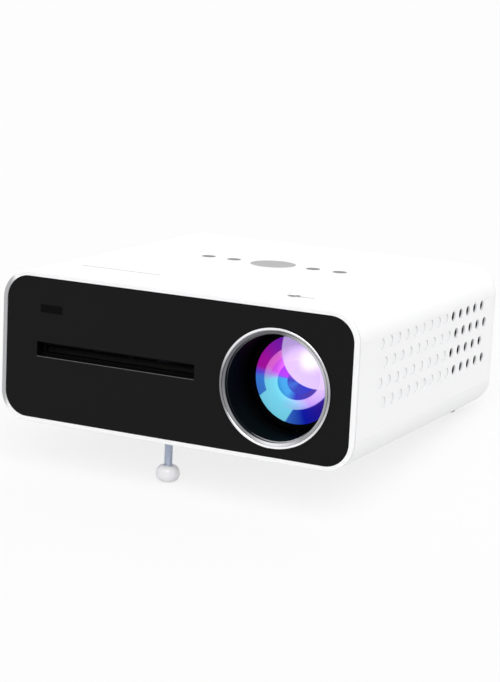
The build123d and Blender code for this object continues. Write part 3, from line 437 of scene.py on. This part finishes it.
def white_case(name, shaded_limb=False):
    """Satin white plastic with painted shade in its hollows, and painted shade on the left limb if asked."""
    nodes = Finish(name)
    # Painted shade: the white turns grey where ambient occlusion finds a hollow
    shade = nodes.add("ShaderNodeAmbientOcclusion", samples=8)
    nodes.give(PAINTED_SHADE_REACH, shade.inputs["Distance"])
    colour = nodes.blend(shade.outputs["AO"], HOLLOW_PAINTED_SHADE, CASE_WHITE)
    if shaded_limb:
        # Painted shade on the frame's left limb, as if light fell from the right
        across, depth = nodes.offsets(ORIGIN, turned_way(1, 0, LIMB_LEAN), BACK)
        limb = nodes.ranged(across, LIMB_END, LIMB_FULL, "SMOOTHSTEP")
        limb = nodes.math("MULTIPLY", limb, nodes.math("LESS_THAN", depth, 0.0))
        colour = nodes.blend(limb, colour, LIMB_PAINTED_SHADE)
    nodes.set(Base_Color=colour, Specular_IOR_Level=0.4)
    nodes.grain(scale=1500.0, rough=(0.36, 0.48), depth=0.012 * MM, edge=0.35 * MM)
    return nodes.material


def panel_painted_shade_and_highlight():
    """Satin black, with painted shade on the openings' walls and a painted highlight on the slot's chamfer."""
    nodes = Finish("black_panel")
    start = ORIGIN + turned_way(CHAMFER_START, 0, HIGHLIGHT_MIDDLE)
    across, height = nodes.offsets(start, RIGHT, UP)
    [depth] = nodes.offsets(ORIGIN, BACK)
    # A painted highlight along the slot's chamfer
    painted_chamfer_highlight = nodes.math("LESS_THAN", nodes.math("ABSOLUTE", height), HIGHLIGHT_WIDTH / 2)
    for limit in (
        nodes.math("GREATER_THAN", across, 0.0),
        nodes.math("LESS_THAN", across, CHAMFER_LENGTH),
        nodes.math("LESS_THAN", depth, CHAMFER_DEPTH),
    ):
        painted_chamfer_highlight = nodes.math("MULTIPLY", painted_chamfer_highlight, limit)
    # Painted shade on the walls of the openings, deeper than the chamfer
    wall = nodes.math("GREATER_THAN", depth, CHAMFER_DEPTH)
    black = nodes.blend(nodes.noise(BROAD), PANEL_DARK, PANEL_BLACK)
    black = nodes.blend(wall, black, OPENING_PAINTED_SHADE)
    nodes.set(Base_Color=nodes.blend(painted_chamfer_highlight, black, PAINTED_HIGHLIGHT_GREY), Specular_IOR_Level=0.08)
    nodes.grain(scale=2400.0, rough=(0.32, 0.44), depth=0.006 * MM, edge=0.25 * MM)
    return nodes.material


def bright_ring():
    """Polished chrome, with a satin cone inside the bead, painted reflections by angle and a painted dark
    reflection on the inner wall.
    """
    nodes = Finish("bright_ring")
    across, height = nodes.offsets(LENS_CENTRE, RIGHT, UP)
    radius = nodes.length(across, height)
    cone = nodes.math("LESS_THAN", radius, RING_CONE)
    # Painted dark reflection on the inner wall
    wall = nodes.math("LESS_THAN", radius, RING_EYE)
    # Painted reflections by angle on the cone and bead
    cone_reflection, bead_reflection = (nodes.by_angle(across, height, tones) for tones in (CONE_PAINTED_REFLECTIONS, BEAD_PAINTED_REFLECTIONS))
    colour = nodes.blend(wall, nodes.blend(cone, bead_reflection, cone_reflection), RING_WALL_PAINTED_REFLECTION)
    fine = nodes.noise(scale=1500.0, detail=2.0)
    satin = nodes.spread(cone, 0.0, 0.28)
    rough = nodes.math("ADD", satin, nodes.spread(fine, 0.08, 0.13))
    nodes.set(Base_Color=colour, Roughness=rough, Metallic=1.0)
    nodes.bump(fine, depth=0.004 * MM, strength=0.3, edge=0.15 * MM)
    return nodes.material


def lipped_tube():
    """Flat black inside, with painted highlights by angle on its satin front lip."""
    nodes = Finish("lens_tube_black")
    [depth] = nodes.offsets(ORIGIN, BACK)
    # Painted highlights by angle on the tube's front lip
    lip_highlight = nodes.by_angle(*nodes.offsets(LENS_CENTRE, RIGHT, UP), LIP_PAINTED_HIGHLIGHTS)
    lip = nodes.math("LESS_THAN", depth, TUBE_LIP_DEPTH)
    nodes.set(Base_Color=nodes.blend(lip, TUBE_BLACK, lip_highlight), Specular_IOR_Level=0.01)
    nodes.grain(scale=1200.0, rough=(0.42, 0.58), depth=0.006 * MM, edge=0.2 * MM)
    return nodes.material


def lens_with_painted_reflections():
    """Dark glass whose coatings' coloured zones, wedge, patch and glare are painted reflections under a clear
    polish, and which glows with them.
    """
    nodes = Finish("lens_with_painted_reflections")
    across, height = nodes.offsets(LENS_CENTRE, RIGHT, UP)

    def offset_from(centre):
        """The way from a middle to the shaded place, across and up."""
        x = nodes.math("SUBTRACT", across, centre[0] * MM)
        z = nodes.math("SUBTRACT", height, centre[1] * MM)
        return x, z

    def inside(distance, radius):
        """1 within a radius and 0 outside it, over a soft edge."""
        return nodes.ranged(distance, radius * MM + ZONE_EDGE, radius * MM - ZONE_EDGE)

    def zone(centre, hues):
        """The distance from a zone's middle, and its hue there."""
        x, z = offset_from(centre)
        x = nodes.math("ADD", x, nodes.math("MULTIPLY", z, ZONE_LEAN))
        x = nodes.math("MULTIPLY", x, ZONE_SQUEEZE)
        return nodes.length(x, z), nodes.by_angle(x, z, hues)

    def wedge():
        """1 within the beam and 0 beside it."""
        x, z = offset_from(WEDGE_POINT)
        angle = nodes.math("ARCTAN2", z, x)
        low, high = (math.radians(limit) for limit in WEDGE_ANGLES)
        edge = math.radians(WEDGE_EDGE)
        above = nodes.ranged(angle, low - edge, low + edge)
        below = nodes.ranged(angle, high + edge, high - edge)
        return nodes.math("MULTIPLY", above, below)

    # Painted reflections: the coating zones, the cyan wedge and the pale patch
    outer_hue = zone(*OUTER_ZONE)[1]
    colour = nodes.blend(wedge(), outer_hue, CYAN)
    for reach, centre, hues in INNER_ZONES:
        distance, hue = zone(centre, hues)
        colour = nodes.blend(inside(distance, reach), colour, hue)
    patch = inside(nodes.length(*offset_from(PATCH_CENTRE)), PATCH_RADIUS)
    patch = nodes.math("MULTIPLY", patch, PATCH_STRENGTH)
    colour = nodes.blend(patch, colour, PALE_LILAC)
    # A painted glare highlight in the middle of the patch
    distance = nodes.length(*offset_from(GLARE_CENTRE))
    glow = nodes.ranged(distance, GLARE_RADIUS * MM, 0.0, "SMOOTHERSTEP")
    colour = nodes.blend(nodes.math("MULTIPLY", glow, patch), colour, GLARE)
    nodes.set(Base_Color=colour, Metallic=0.5, Roughness=0.3)
    # Painted glow: the lens emits its painted colours though it is no lamp
    nodes.set(Emission_Color=colour, Emission_Strength=0.64)
    nodes.set(Coat_Weight=0.6, Coat_Roughness=0.02)
    nodes.bump(nodes.noise(scale=40.0), depth=0.005 * MM, strength=0.1)
    return nodes.material


def make_materials():
    """One material for each finish, by name."""
    return {
        "white": white_case("white_case"),
        "frame": white_case("white_frame", shaded_limb=True),
        "panel": panel_painted_shade_and_highlight(),
        "chrome": bright_ring(),
        "tube": lipped_tube(),
        "coated": lens_with_painted_reflections(),
        "lever": grained(
            "white_lever", srgb(244, 244, 246),
            roughness=0.35, grain=1500.0, depth=0.01 * MM, vary=0.01, edge=0.2 * MM,
        ),
        "window": grained(
            "dark_window", srgb(10, 8, 9),
            roughness=0.16, grain=300.0, depth=0.002 * MM, vary=0.2, edge=0.2 * MM,
            Specular_IOR_Level=0.04,
        ),
        "black": grained(
            "black_plastic", srgb(14, 14, 15),
            roughness=0.5, grain=2000.0, depth=0.01 * MM, vary=0.2, edge=0.2 * MM,
            Specular_IOR_Level=0.2,
        ),
        "slot": grained(
            "slot_black", srgb(7, 7, 8),
            roughness=0.6, grain=900.0, depth=0.004 * MM, vary=0.1, Specular_IOR_Level=0.05,
        ),
        "small_key": grained(
            "small_key_grey", srgb(98, 98, 100),
            roughness=0.4, grain=1800.0, depth=0.008 * MM, vary=0.04, edge=0.2 * MM,
        ),
        "select_key": grained(
            "select_key_grey", srgb(160, 160, 161),
            roughness=0.38, grain=1800.0, depth=0.008 * MM, vary=0.03, edge=0.25 * MM,
        ),
        "light_bar": grained(
            "frosted_light_bar", srgb(176, 176, 178),
            roughness=0.3, grain=900.0, depth=0.004 * MM, vary=0.05, edge=0.1 * MM,
            Subsurface_Weight=0.2,
        ),
        "rubber": grained(
            "rubber", srgb(34, 34, 35),
            roughness=0.75, grain=1600.0, depth=0.03 * MM, vary=0.2, edge=0.3 * MM,
            Specular_IOR_Level=0.25,
        ),
        "milky": grained(
            "milky_plastic", srgb(247, 247, 251),
            roughness=0.3, grain=1000.0, depth=0.006 * MM, vary=0.03, edge=0.3 * MM,
            Subsurface_Weight=0.3, Subsurface_Radius=(1, 1, 1), Subsurface_Scale=2 * MM,
        ),
        "board": grained(
            "circuit_board", srgb(26, 92, 52),
            roughness=0.35, grain=700.0, depth=0.02 * MM, vary=0.3,
        ),
        "cone": grained(
            "speaker_cone", srgb(38, 38, 40),
            roughness=0.8, grain=1400.0, depth=0.05 * MM, vary=0.3,
        ),
        "foot": metal("plated_foot", srgb(200, 208, 224), roughness=0.4, stretch=(1, 1, 6)),
        "steel": metal("plated_steel", srgb(170, 182, 200), roughness=0.28, stretch=(1, 1, 6)),
        "sheet": metal("zinc_sheet", srgb(176, 180, 186), roughness=0.38, stretch=(6, 1, 1)),
        "aluminium": metal(
            "extruded_aluminium", srgb(196, 198, 202), roughness=0.35, stretch=(1, 1, 8),
        ),
        "brass": metal("turned_brass", srgb(205, 172, 98), roughness=0.25),
        "glass": glassy("clear_glass", srgb(236, 246, 246), roughness=0.03, index=1.5),
        "acrylic": glassy("ribbed_acrylic", srgb(238, 242, 246), roughness=0.08, index=1.49),
    }


FINISHED_NODES = {
    "white": ("top_cover", "base_cover", "left_side_panel", "right_side_panel", "rear_cover"),
    "frame": ("front_frame",),
    "panel": ("front_panel",),
    "chrome": ("chrome_ring",),
    "tube": ("lens_tube", "lens_barrel", "lens_retainer"),
    "coated": ("front_lens",),
    "lever": ("focus_lever",),
    "window": ("ir_window", "lcd_panel"),
    "black": ("focus_ring", "engine_housing", "engine_lid", "fan_frame", "fan_rotor",
              "turntable", "power_inlet", "audio_jack"),
    "slot": ("slot_bezel",),
    "small_key": ("power_button", "source_button", "back_button", "eject_button"),
    "select_key": ("select_button",),
    "light_bar": ("status_light_bar",),
    "rubber": ("rear_feet", "feed_roller", "drive_belt"),
    "milky": ("foot_knob",),
    "board": ("key_board", "main_board", "power_board"),
    "cone": ("speaker",),
    "steel": ("loading_motor", "spindle_motor", "guide_rods", "lead_screw", "sled_motor",
              "video_socket", "foot_screw", "base_screws"),
    "sheet": ("drive_chassis", "drive_cover"),
    "aluminium": ("heat_sink", "led_board", "pickup_sled"),
    "brass": ("drive_standoffs", "motor_pulley", "foot_insert", "tripod_insert"),
    "glass": ("rear_lens", "condenser_lens"),
    "acrylic": ("front_field_lens", "rear_field_lens"),
}


def dress_nodes(materials):
    """Give every node its finish."""
    for finish, names in FINISHED_NODES.items():
        for name in names:
            node = frame["nodes"][name]
            node.data.materials.clear()
            node.data.materials.append(materials[finish])


def new_piece(name, points, faces, material):
    """A smooth mesh piece in the scene."""
    mesh = bpy.data.meshes.new(name)
    mesh.from_pydata(points, [], faces)
    mesh.materials.append(material)
    mesh.polygons.foreach_set("use_smooth", [True] * len(mesh.polygons))
    mesh.update()
    piece = bpy.data.objects.new(name, mesh)
    bpy.context.scene.collection.objects.link(piece)
    return piece


def make_foot_thread(material):
    """The foot's shank with its screw thread."""
    low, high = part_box("foot_screw")
    middle = (low + high) / 2
    radius = (high.x - low.x) / 2
    length = (high.z - low.z - 2 * radius * abs(UP.y)) / UP.z
    rings = round(length / THREAD_PITCH * THREAD_STEPS)
    points = []
    for ring in range(rings + 1):
        along = length * (ring / rings - 0.5)
        for index in range(THREAD_AROUND):
            turn = index / THREAD_AROUND
            phase = (along / THREAD_PITCH - turn) % 1.0
            depth = THREAD_DEPTH * min(1.0, THREAD_SLOPE * abs(phase - 0.5))
            angle = 2 * math.pi * turn
            reach = radius - depth
            way = turned_way(reach * math.cos(angle), reach * math.sin(angle), along)
            points.append(middle + way)
    faces = []
    for ring in range(rings):
        for index in range(THREAD_AROUND):
            after = (index + 1) % THREAD_AROUND
            a, b = ring * THREAD_AROUND + index, ring * THREAD_AROUND + after
            faces.append((a, b, b + THREAD_AROUND, a + THREAD_AROUND))
    faces.append(tuple(range(THREAD_AROUND - 1, -1, -1)))
    faces.append(tuple(rings * THREAD_AROUND + index for index in range(THREAD_AROUND)))
    piece = new_piece("foot_thread", points, faces, material)
    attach(piece, "foot")
    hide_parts("foot_screw")


def make_floor():
    """A pale floor that shows near white and keeps a soft shadow."""
    nodes = Finish("floor")
    colour = nodes.blend(nodes.noise(scale=2.0), FLOOR_DARK, FLOOR_PALE)
    nodes.set(Base_Color=colour, Roughness=0.9, Specular_IOR_Level=0.0)
    shown = nodes.add("ShaderNodeEmission").outputs["Emission"]
    share = nodes.math("MULTIPLY", nodes.seen(), FLOOR_SHOWN_WHITE)
    nodes.surface(share, nodes.shader.outputs["BSDF"], shown, "Material Output")
    ends = (-FLOOR_HALF, FLOOR_HALF)
    points = [(x, y, 0.0) for x in ends for y in ends]
    floor = new_piece("floor", points, [(0, 2, 3, 1)], nodes.material)


def make_world():
    """White to the camera and in metal and glass; a soft sky, lighter above, for the light."""
    world = bpy.data.worlds.new("studio")
    bpy.context.scene.world = world
    world.use_nodes = True
    nodes = Nodes(world.node_tree)
    sky = nodes.tree.nodes["Background"]
    shown = nodes.add("ShaderNodeBackground")
    for background in (sky, shown):
        nodes.give(SHOWN_WHITE, background.inputs["Color"])
    split = nodes.add("ShaderNodeSeparateXYZ")
    nodes.give(nodes.add("ShaderNodeTexCoord").outputs["Generated"], split.inputs["Vector"])
    limits = {"From_Min": AMBIENT_FROM, "To_Min": AMBIENT_LOW, "To_Max": AMBIENT_HIGH}
    nodes.give(nodes.moved_range(split.outputs["Z"], **limits), sky.inputs["Strength"])
    backgrounds = (node.outputs["Background"] for node in (sky, shown))
    nodes.surface(nodes.seen(), *backgrounds, "World Output")


def make_key_light():
    """One broad soft light from above, to the front right."""
    lamp = bpy.data.lights.new("key", "SUN")
    lamp.energy = KEY_STRENGTH
    lamp.angle = math.radians(KEY_ANGLE)
    key = bpy.data.objects.new("key", lamp)
    key.rotation_euler = Vector(KEY_FROM).to_track_quat("Z", "Y").to_euler()
    bpy.context.scene.collection.objects.link(key)


def make_camera():
    """The photograph's camera, worked out in the tilted case's own directions."""
    azimuth, elevation, roll = (math.radians(v) for v in (VIEW_AZIMUTH, VIEW_ELEVATION, VIEW_ROLL))
    behind = Vector((
        math.sin(azimuth) * math.cos(elevation),
        -math.cos(azimuth) * math.cos(elevation),
        math.sin(elevation),
    ))
    right = Vector((math.cos(azimuth), math.sin(azimuth), 0))
    over = behind.cross(right)
    rolled_right = right * math.cos(roll) + over * math.sin(roll)
    rolled_over = over * math.cos(roll) - right * math.sin(roll)
    place = behind * VIEW_DISTANCE + rolled_right * VIEW_RIGHT + rolled_over * VIEW_UP
    columns = [turned_way(*way) for way in (rolled_right, rolled_over, behind)]
    turn = Matrix(columns).transposed().to_4x4()
    data = bpy.data.cameras.new("camera")
    data.lens = VIEW_LENS
    data.sensor_width = VIEW_SENSOR
    camera = bpy.data.objects.new("camera", data)
    camera.matrix_world = Matrix.Translation(ORIGIN + turned_way(*place)) @ turn
    bpy.context.scene.collection.objects.link(camera)
    bpy.context.scene.camera = camera


bpy.context.scene.view_settings.view_transform = "Standard"
materials = make_materials()
dress_nodes(materials)
make_foot_thread(materials["foot"])
make_floor()
make_world()
make_key_light()
make_camera()
